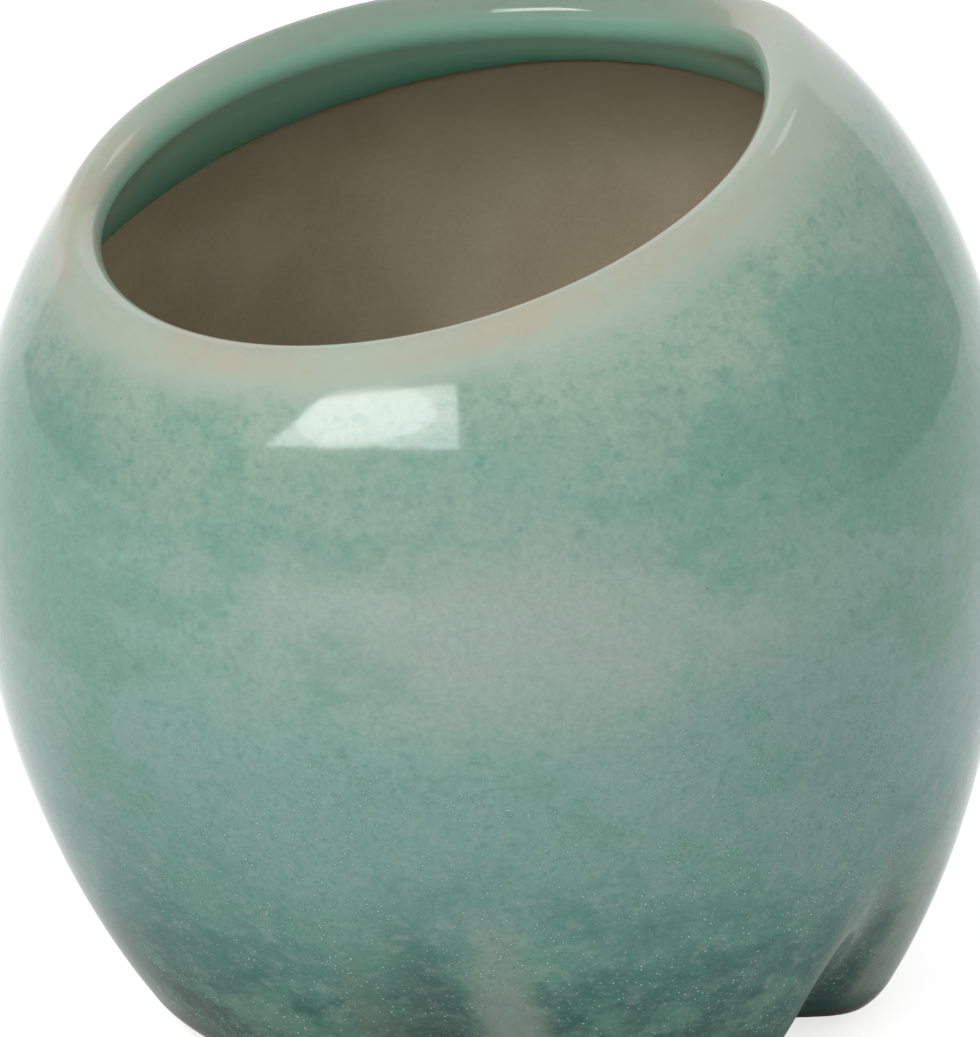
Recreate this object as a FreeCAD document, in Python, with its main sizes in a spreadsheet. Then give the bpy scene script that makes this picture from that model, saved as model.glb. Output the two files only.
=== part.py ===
import FreeCAD, Part
import math
import os
import Sketcher

# A glazed stoneware flower pot: an egg-shaped body that sways forward at the belly, with five
# lobes at its foot and a wide mouth cut on a slant. +Z is up, +Y is the high side of the mouth,
# and the origin is on the table, under the middle of the belly.

# Driving dimensions: millimetres, and degrees where the note says so
dimensions = [
    ("belly_radius", 74.4, "clay radius at the widest ring"),
    ("belly_height", 76.0, "height of the widest ring above the table"),
    ("belly_sway", 5.3, "how far the foot stands back from the belly"),
    ("foot_radius", 52.4, "clay radius that the wall runs to at the table"),
    ("mouth_radius", 53.2, "clay radius at the height where the mouth meets the axis"),
    ("mouth_height", 132.3, "height of the mouth on the axis"),
    ("mouth_tilt", 15.5, "slant of the mouth, degrees"),
    ("rim_wave", 2.7, "how far the hand-cut rim rises and falls about its slant"),
    ("rim_turn", 25.0, "where round the mouth it rises most, degrees from +X"),
    ("wall", 5.2, "thickness of the clay wall"),
    ("lip_swell", 3.0, "how much thicker the wall is at the high side of the lip"),
    ("groove_depth", 11.8, "depth of the grooves between the lobes, at the table"),
    ("groove_top", 47.5, "height at which the grooves run out"),
    ("groove_spread", 9.0, "half width of a groove, degrees"),
    ("foot_round", 9.0, "radius of the foot's outer edge"),
    ("foot_width", 13.0, "width of the flat under each lobe"),
    ("foot_grind", 0.5, "clay ground off to make those flats"),
    ("foot_recess", 6.0, "height of the hollow under the floor"),
    ("channel_rise", 1.5, "height of the channels between the feet"),
    ("floor_thickness", 7.0, "clay above the hollow, at the drain"),
    ("floor_round", 12.0, "radius between the floor and the wall inside"),
    ("floor_fall", 0.6, "fall of the floor towards the drain"),
    ("glaze_coat", 0.6, "thickness of the glaze"),
    ("glaze_band", 13.0, "how far below the lip the glaze ends inside"),
    ("glaze_roll", 0.8, "length over which the glaze's ends thin out"),
    ("drain_land", 17.0, "radius of the flat round the drain hole"),
    ("drain_radius", 9.0, "radius of the drain hole at the floor"),
    ("drain_taper", 1.0, "how much narrower the hole is underneath"),
    ("bung_clearance", 0.15, "gap between the bung and the hole"),
    ("bung_flange", 4.0, "how far the bung's head laps over the floor"),
    ("bung_head", 3.0, "thickness of the head"),
    ("bung_tail", 1.5, "how far the bung stands out underneath"),
    ("grip_radius", 4.5, "radius of the bung's finger grip"),
    ("grip_height", 7.0, "height of the grip above the head"),
    ("bung_edge", 0.8, "rounding of the bung's edges"),
    ("pad_radius", 5.5, "radius of a foot pad"),
    ("pad_height", 1.6, "thickness of a foot pad"),
    ("pad_edge", 0.4, "rounding of a pad's lower edge"),
    ("cut_overrun", 4.0, "how far a cutting block passes the clay"),
]

# The grooves are pressed in by hand, at uneven turns about the foot, in degrees from +X
groove_turns = (12, 86, 158, 230, 306)
points_per_lobe = 8  # one of them on each groove
halvings = 40        # steps of the search for a tangent corner

# Rings under the floor: way out to the foot, height of the hollow, rise of the channels
hollow_shares = ((0, 1, 0), (0.45, 0.90, 0.05), (0.85, 0.40, 0.60))
# Rings on the foot's flat: way across it, what is ground off, how far the groove draws them in
flat_shares = ((0, 1, 0.15), (0.5, 1, 0.50))
# Rings round the foot's edge, from its flat to the wall: bare ones, the glaze's end, glazed ones
bare_edge_shares = (1, 0.75)
glaze_edge_share = 0.5
glazed_edge_shares = (0.25, 0)
# What is left of the channels' rise where that edge meets the wall
edge_lift_share = 0.55
# Rings of the lobes: way from the foot's edge up to the lip, and what is left of that rise
lobed_shares = ((0.06, 0.30), (0.14, 0.10), (0.24, 0), (0.36, 0))
# Rings of the plain wall above the lobes, the last of them just below the lip
plain_shares = (0.50, 0.64, 0.77, 0.87, 0.95)
# Rings on down the inside, below the glaze
inside_shares = (0.77, 0.64, 0.50, 0.36, 0.24)
# Rings round the lip, as shares of its half turn from the outside to the inside
lip_shares = (1 / 6, 1 / 3, 1 / 2, 2 / 3, 5 / 6, 1)
# Rings round the edge of the floor, from the wall to the floor
floor_edge_shares = (0, 0.33, 0.66, 1)
# The grooves show inside as well, a little softened by the casting
inside_groove_share = 0.9
# The grooves fade upwards as this power of the height that is left
groove_fade = 2.2
# The wall starts to thicken towards the lip at this share of its height
swell_share = 0.5

doc = FreeCAD.newDocument("flower_pot")
sheet = doc.addObject("Spreadsheet::Sheet", "Sizes")
for row, (alias, value, note) in enumerate(dimensions, start=1):
    sheet.set(f"A{row}", note)
    sheet.set(f"B{row}", str(value))
    sheet.setAlias(f"B{row}", alias)
doc.recompute()


def size(alias):
    return float(sheet.get(alias))


# Values that follow from the driving dimensions
belly_radius = size("belly_radius")
belly_height = size("belly_height")
foot_level = size("pad_height")
hollow_level = foot_level + size("foot_recess")
land_level = hollow_level + size("floor_thickness")
floor_level = land_level + size("floor_fall")
mouth_slope = math.tan(math.radians(size("mouth_tilt")))
mouth_rise = size("mouth_height") - belly_height
# Half heights of the two ellipses that make the egg's outline, above and below the belly
crown_reach = mouth_rise / math.sqrt(1 - (size("mouth_radius") / belly_radius) ** 2)
keel_reach = belly_height / math.sqrt(1 - (size("foot_radius") / belly_radius) ** 2)
lobes = len(groove_turns)
groove_angles = [math.radians(turn) for turn in groove_turns]
lobe_ends = groove_angles[1:] + [groove_angles[0] + 2 * math.pi]
point_count = lobes * points_per_lobe
angles = []
for lobe_start, lobe_end in zip(groove_angles, lobe_ends):
    step = (lobe_end - lobe_start) / points_per_lobe
    angles += [lobe_start + step * k for k in range(points_per_lobe)]


# Outline of the clay

def egg(height):
    """Radius of the wall at a height, and the radial and upward parts of its outward normal."""
    reach = crown_reach if height > belly_height else keel_reach
    way = (height - belly_height) / reach
    radius = belly_radius * math.sqrt(1 - way * way)
    slope = -belly_radius ** 2 * way / (reach * radius)
    length = math.hypot(1, slope)
    return radius, 1 / length, -slope / length


def sway(height):
    return size("belly_sway") * ((height - belly_height) / belly_height) ** 2


def groove(angle):
    """1 on a groove, falling to 0 on the lobes beside it."""
    spread = math.radians(size("groove_spread"))
    total = 0
    for middle in groove_angles:
        turn = (angle - middle + math.pi) % (2 * math.pi) - math.pi
        total += math.exp(-(turn / spread) ** 2)
    return total


def groove_draw(height):
    """How far a groove draws the wall in at a height."""
    left = max(0, 1 - height / size("groove_top"))
    return size("groove_depth") * left ** groove_fade


def rim_height(angle):
    """Height at which the slanted, wavy mouth cuts the outside of the egg."""
    slope = mouth_slope * math.sin(angle)
    square = 1 / belly_radius ** 2 + slope ** 2 / crown_reach ** 2
    linear = 2 * slope * mouth_rise / crown_reach ** 2
    constant = (mouth_rise / crown_reach) ** 2 - 1
    radius = (math.sqrt(linear ** 2 - 4 * square * constant) - linear) / (2 * square)
    wave = size("rim_wave") * math.cos(2 * (angle - math.radians(size("rim_turn"))))
    return size("mouth_height") + slope * radius + wave


def thickness(angle, share):
    """Thickness of the clay at a share of the way up to the lip."""
    swollen = max(0, share - swell_share) / (1 - swell_share)
    return size("wall") + size("lip_swell") * swollen * (1 + math.sin(angle)) / 2


def corner(level, radius, into):
    """Where an edge of some radius, standing on a level, runs tangent into the wall."""
    low, high = level, belly_height
    for _ in range(halvings):
        middle = (low + high) / 2
        wall_radius, outward, upward = egg(middle)
        if middle - (into + radius) * upward > level + radius:
            high = middle
        else:
            low = middle
    return middle, wall_radius - (into + radius) * outward, math.asin(-upward)


edge_top, edge_centre, edge_start = corner(foot_level, size("foot_round"), 0)
floor_top, floor_centre, floor_start = corner(floor_level, size("floor_round"), size("wall"))
foot_inside = edge_centre - size("foot_width")


# Rings of points around the pot, all starting on the same groove

def place(angle, radius, height, middle):
    return FreeCAD.Vector(radius * math.cos(angle), radius * math.sin(angle) + middle, height)


def level_ring(radius, height, lift=0, draw=0):
    """A ring about the foot's own axis."""
    middle = size("belly_sway")
    return [place(a, radius - draw * groove(a), height + lift * groove(a), middle) for a in angles]


def edge_ring(level, radius, centre, start, top, share, into, lift, groove_share):
    """A ring on a rounded edge: share 0 is where it meets the wall, 1 where it lies flat."""
    turn = start + (math.radians(90) - start) * share
    reach = centre + (radius - into) * math.cos(turn)
    height = level + radius - (radius - into) * math.sin(turn)
    draw = groove_draw(top) * groove_share
    middle = sway(top * (1 - share))
    return [place(a, reach - draw * groove(a), height + lift * groove(a), middle) for a in angles]


def foot_ring(share, into=0):
    """A ring on the foot's outer edge, sunk by what is ground off later."""
    level = foot_level - size("foot_grind") * share
    lift = size("channel_rise") * (edge_lift_share + (1 - edge_lift_share) * share)
    return edge_ring(level, size("foot_round"), edge_centre, edge_start, edge_top, share, into, lift, 1)


def wall_ring(share, coat=0, lift_share=0):
    """A ring on the outside of the wall, a share of the way up to the lip."""
    ring = []
    for a in angles:
        height = edge_top + (rim_height(a) - edge_top) * share
        radius, outward, upward = egg(height)
        radius += coat * outward - groove_draw(height) * groove(a)
        lift = size("channel_rise") * lift_share * groove(a)
        ring.append(place(a, radius, height + coat * upward + lift, sway(height)))
    return ring


def inside_ring(share, coat=0, below_lip=0):
    """A ring on the inside of the wall, a share of the way up to the lip or to a length below it."""
    ring = []
    for a in angles:
        rise = rim_height(a) - edge_top
        height = edge_top + (rise - below_lip) * share
        radius, outward, upward = egg(height)
        into = thickness(a, (height - edge_top) / rise) + coat
        radius -= into * outward + inside_groove_share * groove_draw(height) * groove(a)
        ring.append(place(a, radius, height - into * upward, sway(height)))
    return ring


def lip_ring(share, coat=0):
    """A ring on the half-round lip: share 0 is outside, 1 is inside."""
    ring = []
    for a in angles:
        half = thickness(a, 1) / 2
        across = (half + coat) * math.cos(math.pi * share) - half
        along = (half + coat) * math.sin(math.pi * share)
        height = rim_height(a)
        radius, outward, upward = egg(height)
        radius += across * outward - along * upward
        ring.append(place(a, radius, height + across * upward + along * outward, sway(height)))
    return ring


def skin(groups):
    """A smooth surface through groups of rings, and its faces: each ends on the last ring of a group."""
    rings = [ring for group in groups for ring in group]
    steps = [0]
    for ring, following in zip(rings, rings[1:]):
        way = sum(p.distanceToPoint(q) for p, q in zip(ring, following)) / point_count
        steps.append(steps[-1] + way)
    lines = []
    for index in range(point_count):
        line = Part.BSplineCurve()
        line.interpolate(Points=[ring[index] for ring in rings], Parameters=steps)
        lines.append(line)
    turns = [angle - angles[0] for angle in angles] + [2 * math.pi]
    hoops = []
    for pole in range(1, lines[0].NbPoles + 1):
        hoop = Part.BSplineCurve()
        hoop.interpolate(Points=[line.getPole(pole) for line in lines], Parameters=turns, PeriodicFlag=True)
        hoops.append(hoop)
    hoop, line = hoops[0], lines[0]
    poles = [[h.getPole(k) for h in hoops] for k in range(1, hoop.NbPoles + 1)]
    surface = Part.BSplineSurface()
    surface.buildFromPolesMultsKnots(
        poles, hoop.getMultiplicities(), line.getMultiplicities(), hoop.getKnots(), line.getKnots(),
        True, False, hoop.Degree, line.Degree)
    faces = []
    low = last = 0
    for group in groups:
        last += len(group)
        faces.append(surface.toShape(0, 2 * math.pi, low, steps[last - 1]))
        low = steps[last - 1]
    return surface, faces


def end_face(surface, at):
    """A flat face over an end of a skin."""
    return Part.Face(Part.Wire([surface.vIso(at).toShape()]))


def solid_feature(name, faces):
    """A feature whose solid is closed by faces that meet edge to edge."""
    shell = Part.Shell(faces)
    shell.sewShape()
    feature = doc.addObject("Part::Feature", name)
    feature.Shape = Part.makeSolid(shell)
    feature.Placement = FreeCAD.Placement()
    return feature


def cut(name, base, tool):
    feature = doc.addObject("Part::Cut", name)
    feature.Base = base
    feature.Tool = tool
    feature.Refine = False
    return feature


# The clay is one skin: from the hollow underneath, up the outside, over the lip and down to the floor

def hollow_and_flats():
    """The rings under the floor, and those on the foot's flats up to the glaze."""
    land = size("drain_land")
    hollow = []
    for way, height, rise in hollow_shares:
        radius = land + (foot_inside - land) * way
        level = foot_level + size("foot_recess") * height
        hollow.append(level_ring(radius, level, size("channel_rise") * rise))
    flats = []
    for way, ground, draw in flat_shares:
        radius = foot_inside + size("foot_width") * way
        level = foot_level - size("foot_grind") * ground
        flats.append(level_ring(radius, level, size("channel_rise"), groove_draw(0) * draw))
    flats += [foot_ring(share) for share in bare_edge_shares]
    flats.append(foot_ring(glaze_edge_share))
    return [hollow, flats]


def glazed_wall(coat):
    """The rings between the two ends of the glaze, on the clay or raised by the coat: those of the
    lobes, of the plain wall above, of the lip and of the band inside it."""
    roll_share = size("glaze_roll") / (size("foot_round") * (math.radians(90) - edge_start))
    lobed = [foot_ring(share, -coat) for share in (glaze_edge_share - roll_share, *glazed_edge_shares)]
    lobed += [wall_ring(share, coat, lift_share) for share, lift_share in lobed_shares]
    plain = [wall_ring(share, coat) for share in plain_shares]
    plain.append(lip_ring(0, coat))
    lip = [lip_ring(share, coat) for share in lip_shares]
    inside = [inside_ring(plain_shares[-1], coat)]
    inside.append(inside_ring(1, coat, size("glaze_band") - size("glaze_roll")))
    inside.append(inside_ring(1, 0, size("glaze_band")))
    return [lobed, plain, lip, inside]


def bare_inside():
    """The rings of the bare wall, and those round the edge of the floor to the drain's land."""
    land = size("drain_land")
    wall = [inside_ring(share) for share in inside_shares]
    floor = []
    for share in floor_edge_shares:
        floor.append(edge_ring(floor_level, size("floor_round"), floor_centre, floor_start, floor_top,
                               share, 0, 0, inside_groove_share * (1 - share)))
    floor.append(level_ring((land + floor_centre) / 2, (land_level + floor_level) / 2))
    floor.append(level_ring(land, land_level))
    return [wall, floor]


under_groups = hollow_and_flats()
glazed_groups = glazed_wall(0)
clay_skin, clay_faces = skin(under_groups + glazed_groups + bare_inside())
glazed_faces = clay_faces[len(under_groups):len(under_groups) + len(glazed_groups)]
clay_ends = [end_face(clay_skin, at) for at in clay_skin.bounds()[2:]]
clay = solid_feature("clay", clay_faces + clay_ends)

# The fired foot is ground flat under each lobe
grinder = doc.addObject("Part::Box", "grinder")
grinder.setExpression("Length", "2 * Sizes.belly_radius")
grinder.setExpression("Width", "2 * Sizes.belly_radius")
grinder.setExpression("Height", "Sizes.foot_grind + Sizes.cut_overrun")
grinder.setExpression("Placement.Base.x", "-Sizes.belly_radius")
grinder.setExpression("Placement.Base.y", "Sizes.belly_sway - Sizes.belly_radius")
grinder.setExpression("Placement.Base.z", "Sizes.pad_height - Sizes.foot_grind - Sizes.cut_overrun")
ground = cut("ground_clay", clay, grinder)

# The drain hole tapers, narrow side down, and is cut on past both faces at the same taper
drain = doc.addObject("Part::Cone", "drain")
overrun_taper = "Sizes.drain_taper * Sizes.cut_overrun / Sizes.floor_thickness"
drain.setExpression("Radius1", f"Sizes.drain_radius - Sizes.drain_taper - {overrun_taper}")
drain.setExpression("Radius2", f"Sizes.drain_radius + {overrun_taper}")
drain.setExpression("Height", "Sizes.floor_thickness + 2 * Sizes.cut_overrun")
drain.setExpression("Placement.Base.y", "Sizes.belly_sway")
drain.setExpression("Placement.Base.z", "Sizes.pad_height + Sizes.foot_recess - Sizes.cut_overrun")
stoneware_body = cut("stoneware_body", ground, drain)


# The glaze is a coat from the foot's edge up and over the lip to a line inside, and its back is the
# clay's own faces
coat_groups = glazed_wall(size("glaze_coat"))
coat_groups[0].insert(0, foot_ring(glaze_edge_share))
glaze_skin, glaze_faces = skin(coat_groups)
celadon_glaze = solid_feature("celadon_glaze", glaze_faces + glazed_faces)


# Pieces that are turned or cut from a drawn outline

def new_sketch(body, name, role):
    sketch = body.newObject("Sketcher::SketchObject", name)
    plane = next(feature for feature in body.Origin.OriginFeatures if feature.Role == role)
    sketch.AttachmentSupport = [(plane, "")]
    sketch.MapMode = "FlatFace"
    return sketch


def bind(sketch, expression, kind, *places):
    """A dimension of a sketch that follows the sheet."""
    value = sketch.evalExpression(expression)
    constraint = sketch.addConstraint(Sketcher.Constraint(kind, *places, float(value)))
    sketch.setExpression(f"Constraints[{constraint}]", expression)


def draw_outline(sketch, corners):
    """Straight lines through corners, each a pair of expressions; None keeps a corner on that axis."""
    points = []
    for across, up in corners:
        x = float(sketch.evalExpression(across)) if across else 0
        y = float(sketch.evalExpression(up)) if up else 0
        points.append(FreeCAD.Vector(x, y, 0))
    count = len(points)
    for k in range(count):
        sketch.addGeometry(Part.LineSegment(points[k], points[(k + 1) % count]), False)
    for k, (across, up) in enumerate(corners):
        sketch.addConstraint(Sketcher.Constraint("Coincident", k, 2, (k + 1) % count, 1))
        if across:
            bind(sketch, across, "DistanceX", -1, 1, k, 1)
        else:
            sketch.addConstraint(Sketcher.Constraint("PointOnObject", k, 1, -2))
        if up:
            bind(sketch, up, "DistanceY", -1, 1, k, 1)
        else:
            sketch.addConstraint(Sketcher.Constraint("PointOnObject", k, 1, -1))


def round_edges(body, base, name, alias, chosen):
    """A rounding on the circular edges of a body at heights for which chosen is true."""
    doc.recompute()
    names = []
    for number, edge in enumerate(base.Shape.Edges, start=1):
        if edge.isClosed() and chosen(edge.Curve.Center.z):
            names.append(f"Edge{number}")
    rounding = body.newObject("PartDesign::Fillet", name)
    rounding.Base = (base, names)
    rounding.setExpression("Radius", f"Sizes.{alias}")


# The rubber bung: a tapered shank in the drain hole, a head that lies on the floor, and a grip

def make_bung():
    body = doc.addObject("PartDesign::Body", "drain_bung")
    sketch = new_sketch(body, "bung_outline", "XZ_Plane")
    shank_radius = "Sizes.drain_radius - Sizes.bung_clearance"
    tail_share = "(1 + Sizes.bung_tail / Sizes.floor_thickness)"
    tip_radius = f"{shank_radius} - Sizes.drain_taper * {tail_share}"
    head_radius = "Sizes.drain_radius + Sizes.bung_flange"
    seat = "Sizes.bung_tail + Sizes.floor_thickness"
    head_top = f"{seat} + Sizes.bung_head"
    grip_top = f"{head_top} + Sizes.grip_height"
    draw_outline(sketch, [
        (None, None),
        (tip_radius, None),
        (shank_radius, seat),
        (head_radius, seat),
        (head_radius, head_top),
        ("Sizes.grip_radius", head_top),
        ("Sizes.grip_radius", grip_top),
        (None, grip_top),
    ])
    turned = body.newObject("PartDesign::Revolution", "bung_turned")
    turned.Profile = sketch
    turned.ReferenceAxis = (sketch, ["V_Axis"])
    seat_height = size("bung_tail") + size("floor_thickness")
    round_edges(body, turned, "bung_rounded", "bung_edge",
                lambda height: not math.isclose(height, seat_height))
    body.setExpression("Placement.Base.y", "Sizes.belly_sway")
    body.setExpression("Placement.Base.z", "Sizes.pad_height + Sizes.foot_recess - Sizes.bung_tail")
    return body


# A soft pad under the middle of each lobe's flat

def make_pad(number):
    body = doc.addObject("PartDesign::Body", f"foot_pad_{number}")
    sketch = new_sketch(body, f"pad_outline_{number}", "XY_Plane")
    sketch.addGeometry(Part.Circle(FreeCAD.Vector(), FreeCAD.Vector(0, 0, 1), size("pad_radius")), False)
    sketch.addConstraint(Sketcher.Constraint("Coincident", 0, 3, -1, 1))
    bind(sketch, "Sizes.pad_radius", "Radius", 0)
    disc = body.newObject("PartDesign::Pad", f"pad_disc_{number}")
    disc.Profile = sketch
    disc.setExpression("Length", "Sizes.pad_height")
    round_edges(body, disc, f"pad_rounded_{number}", "pad_edge", lambda height: math.isclose(height, 0))
    lobe_angle = (groove_angles[number - 1] + lobe_ends[number - 1]) / 2
    reach = edge_centre - size("foot_width") / 2
    body.Placement = FreeCAD.Placement(place(lobe_angle, reach, 0, size("belly_sway")), FreeCAD.Rotation())
    return body


drain_bung = make_bung()
foot_pads = [make_pad(number) for number in range(1, lobes + 1)]
doc.recompute()

# Every piece is checked before any is written
pieces = [stoneware_body, celadon_glaze, drain_bung] + foot_pads
for thing in doc.Objects:
    if "Invalid" in thing.State or "Error" in thing.State:
        raise RuntimeError(f"{thing.Label} failed: {thing.State}")
for piece in pieces:
    if piece.Shape.isNull() or not piece.Shape.isValid():
        raise RuntimeError(f"{piece.Label} has no valid shape")

os.makedirs("parts", exist_ok=True)
for piece in pieces:
    piece.Label = piece.Name
    piece.Shape.exportStep(f"parts/{piece.Label}.step")
    print(piece.Label, len(piece.Shape.Solids), "solid", round(piece.Shape.Volume), "mm3")
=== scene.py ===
import math
from functools import partial

import bpy
from mathutils import Matrix, Vector


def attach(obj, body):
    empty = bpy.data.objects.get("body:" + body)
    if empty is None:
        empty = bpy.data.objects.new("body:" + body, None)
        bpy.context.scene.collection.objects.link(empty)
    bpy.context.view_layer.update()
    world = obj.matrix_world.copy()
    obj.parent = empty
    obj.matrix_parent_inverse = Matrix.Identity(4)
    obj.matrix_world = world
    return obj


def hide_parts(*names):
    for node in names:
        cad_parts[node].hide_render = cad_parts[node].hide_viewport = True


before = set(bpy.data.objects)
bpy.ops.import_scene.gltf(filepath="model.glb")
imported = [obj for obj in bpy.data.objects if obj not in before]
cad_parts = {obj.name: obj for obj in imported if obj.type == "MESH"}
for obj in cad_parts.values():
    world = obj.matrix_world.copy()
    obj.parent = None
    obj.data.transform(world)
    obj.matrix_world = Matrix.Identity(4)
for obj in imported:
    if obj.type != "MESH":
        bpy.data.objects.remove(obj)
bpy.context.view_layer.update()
scene = bpy.context.scene
scene.view_settings.view_transform = "Standard"


# hex colours are sRGB, the sockets want linear
def linear(hexColour):
    parts = [int(hexColour[i:i + 2], 16) / 255 for i in (1, 3, 5)]
    return [p / 12.92 if p <= 0.04045 else ((p + 0.055) / 1.055) ** 2.4 for p in parts] + [1]


# a node with its settings and links; gives back one of its outputs
def addNode(tree, kind, inputs=None, out=0, **settings):
    node = tree.nodes.new(kind)
    for name, value in settings.items():
        setattr(node, name, value)
    for name, value in (inputs or {}).items():
        if isinstance(value, bpy.types.NodeSocket):
            tree.links.new(value, node.inputs[name])
        else:
            node.inputs[name].default_value = value
    return node.outputs[out] if node.outputs else node


# kinds and settings that come often; a Mix node has its numbers at 2 and 3, its colours at 6 and 7
calc, remap, mix = "ShaderNodeMath", "ShaderNodeMapRange", "ShaderNodeMix"
vectorMath, noiseMap = "ShaderNodeVectorMath", "ShaderNodeTexNoise"
eased = {"interpolation_type": "SMOOTHSTEP"}
rgba = {"out": 2, "data_type": "RGBA"}
dot = {"out": "Value", "operation": "DOT_PRODUCT"}


def addObject(name, data):
    thing = bpy.data.objects.new(name, data)
    scene.collection.objects.link(thing)
    return thing


# camera: a long lens from a little above, round to the right of the mouth's low side
cameraSetup = {
    "azimuth": 47.5,
    "elevation": 18,
    "aim": (0, 0, 0.0735),
    "distance": 1.0,
    "across": -0.00053,
    "upward": -0.0012,
    "lens": 240.6,
}


def directionTo(azimuth, elevation):
    a, e = math.radians(azimuth), math.radians(elevation)
    return Vector((math.sin(a) * math.cos(e), -math.cos(a) * math.cos(e), math.sin(e)))


def placeCamera(setup):
    back = directionTo(setup["azimuth"], setup["elevation"])
    right = directionTo(setup["azimuth"] + 90, 0)
    up = back.cross(right)
    spot = Vector(setup["aim"]) + back * setup["distance"]
    spot += right * setup["across"] + up * setup["upward"]
    data = bpy.data.cameras.new("camera")
    data.sensor_fit = "VERTICAL"
    data.sensor_width = data.sensor_height = 36
    data.lens = setup["lens"]
    camera = addObject("camera", data)
    camera.matrix_world = Matrix.Translation(spot) @ Matrix((right, up, back)).transposed().to_4x4()
    scene.camera = camera


placeCamera(cameraSetup)
print("camera placed")

# the pot's form, metres and degrees
potForm = {
    "bellyRadius": 0.0744,
    "bellyHeight": 0.0760,
    "bellySway": 0.0053,
    "footRadius": 0.0524,
    "mouthRadius": 0.0532,
    "mouthHeight": 0.1323,
    "mouthTilt": 15.5,
    "rimWave": 0.0027,
    "rimTurn": 25,
    "wall": 0.0052,
    "lipSwell": 0.0030,
    "swellShare": 0.5,
    "grooveDepth": 0.0118,
    "grooveTop": 0.0475,
    "grooveSpread": 9.0,
    "grooveFade": 2.2,
    "grooveTurns": (12, 86, 158, 230, 306),
    "grooveSlant": 0.55,     # how far the marks beside a groove lean, in groove widths
    "insideGroove": 0.9,
    "footLevel": 0.0016,
    "footRound": 0.0090,
    "footWidth": 0.0130,
    "footGrind": 0.0005,
    "footRecess": 0.0060,
    "hollowFall": (1.083, 3.2),   # fall of the hollow towards the foot, and its power
    "flatDraw": (0.15, 0.6),      # how far a groove draws in the flats, at their inside and more outwards
    "channelRise": 0.0015,
    "edgeLift": 0.55,        # share of that rise at the top of the foot's edge
    "lowShare": 0.24,        # share of the wall over which the foot fades out
    "floorThickness": 0.0070,
    "floorFall": 0.0006,
    "floorRound": 0.0120,
    "drainLand": 0.0170,
    "drainRadius": 0.0090,
    "drainTaper": 0.0010,
    "drainEdge": 0.0003,
    "glazeCoat": 0.0006,
    "glazeBand": 0.0160,
    "glazeRoll": 0.0008,
    "glazeFootShare": 0.5,
    "lineTurn": 120,
    "lineTilt": 0.0075,   # the glaze ends 5 to 21 mm down inside, highest under the high side
    "lineWave": 0.0035,
}


# the wall's outline is two half ellipses, meeting at the belly
def reaches(form):
    mouthShare, footShare = (form[name] / form["bellyRadius"] for name in ("mouthRadius", "footRadius"))
    crown = (form["mouthHeight"] - form["bellyHeight"]) / math.sqrt(1 - mouthShare ** 2)
    keel = form["bellyHeight"] / math.sqrt(1 - footShare ** 2)
    return crown, keel


def keelAt(form, height):
    keel = reaches(form)[1]
    way = (height - form["bellyHeight"]) / keel
    radius = form["bellyRadius"] * math.sqrt(1 - way * way)
    slope = -form["bellyRadius"] ** 2 * way / (keel * radius)
    length = math.hypot(1, slope)
    return radius, 1 / length, -slope / length


def swayAt(form, height):
    return form["bellySway"] * ((height - form["bellyHeight"]) / form["bellyHeight"]) ** 2


def grooveDraw(form, height):
    return form["grooveDepth"] * max(0, 1 - height / form["grooveTop"]) ** form["grooveFade"]


# where a rounded edge on a level runs tangent into the wall: height, centre, angle
def tangentCorner(form, level, radius, into):
    low, high = level, form["bellyHeight"]
    for _ in range(40):
        middle = (low + high) / 2
        wallRadius, outward, upward = keelAt(form, middle)
        if middle - (into + radius) * upward > level + radius:
            high = middle
        else:
            low = middle
    return middle, wallRadius - (into + radius) * outward, math.asin(-upward)


# a profile row either rides on the wall (share of the way up, offsets across and along it)
# or lies level about the foot's axis (reach, level); what isn't named is 0
rowNames = ("share", "below", "stand", "acrossShare", "acrossCoat", "alongShare", "alongCoat", "grooveShare",
            "levelled", "reach", "level", "draw", "middle", "lift", "soft", "overLip", "inBand")


def smooth(low, high, value):
    t = min(1, max(0, (value - low) / (high - low)))
    return t * t * (3 - 2 * t)


def levelRow(form, reach, level, **more):
    return {"levelled": 1, "reach": reach, "level": level, "middle": form["bellySway"], **more}


def footEdgeRow(form, share, coat, **more):
    top, centre, start = tangentCorner(form, form["footLevel"], form["footRound"], 0)
    turn = start + (math.pi / 2 - start) * share
    radius = form["footRound"] + coat
    level = form["footLevel"] - form["footGrind"] * share + form["footRound"] - radius * math.sin(turn)
    return {"levelled": 1, "reach": centre + radius * math.cos(turn), "level": level,
            "draw": grooveDraw(form, top), "middle": swayAt(form, top * (1 - share)),
            "lift": form["channelRise"] * (form["edgeLift"] + (1 - form["edgeLift"]) * share), **more}


def wallRow(form, share, coat, **more):
    lift = form["channelRise"] * form["edgeLift"] * max(0, 1 - share / form["lowShare"]) ** 2
    return {"share": share, "acrossCoat": coat, "grooveShare": 1, "lift": lift,
            "overLip": smooth(0.91, 1.0, share), **more}


def lipRow(share, coat, **more):
    turn = math.pi * share
    return {"share": 1, "acrossShare": (math.cos(turn) - 1) / 2, "acrossCoat": coat * math.cos(turn),
            "alongShare": math.sin(turn) / 2, "alongCoat": coat * math.sin(turn), "overLip": 1,
            "inBand": 0.25 * smooth(0.36, 0.92, share), **more}


def insideRow(form, share, below, coat, **more):
    return {"share": share, "below": below, "acrossShare": -1, "acrossCoat": -coat,
            "grooveShare": form["insideGroove"], **more}


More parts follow.
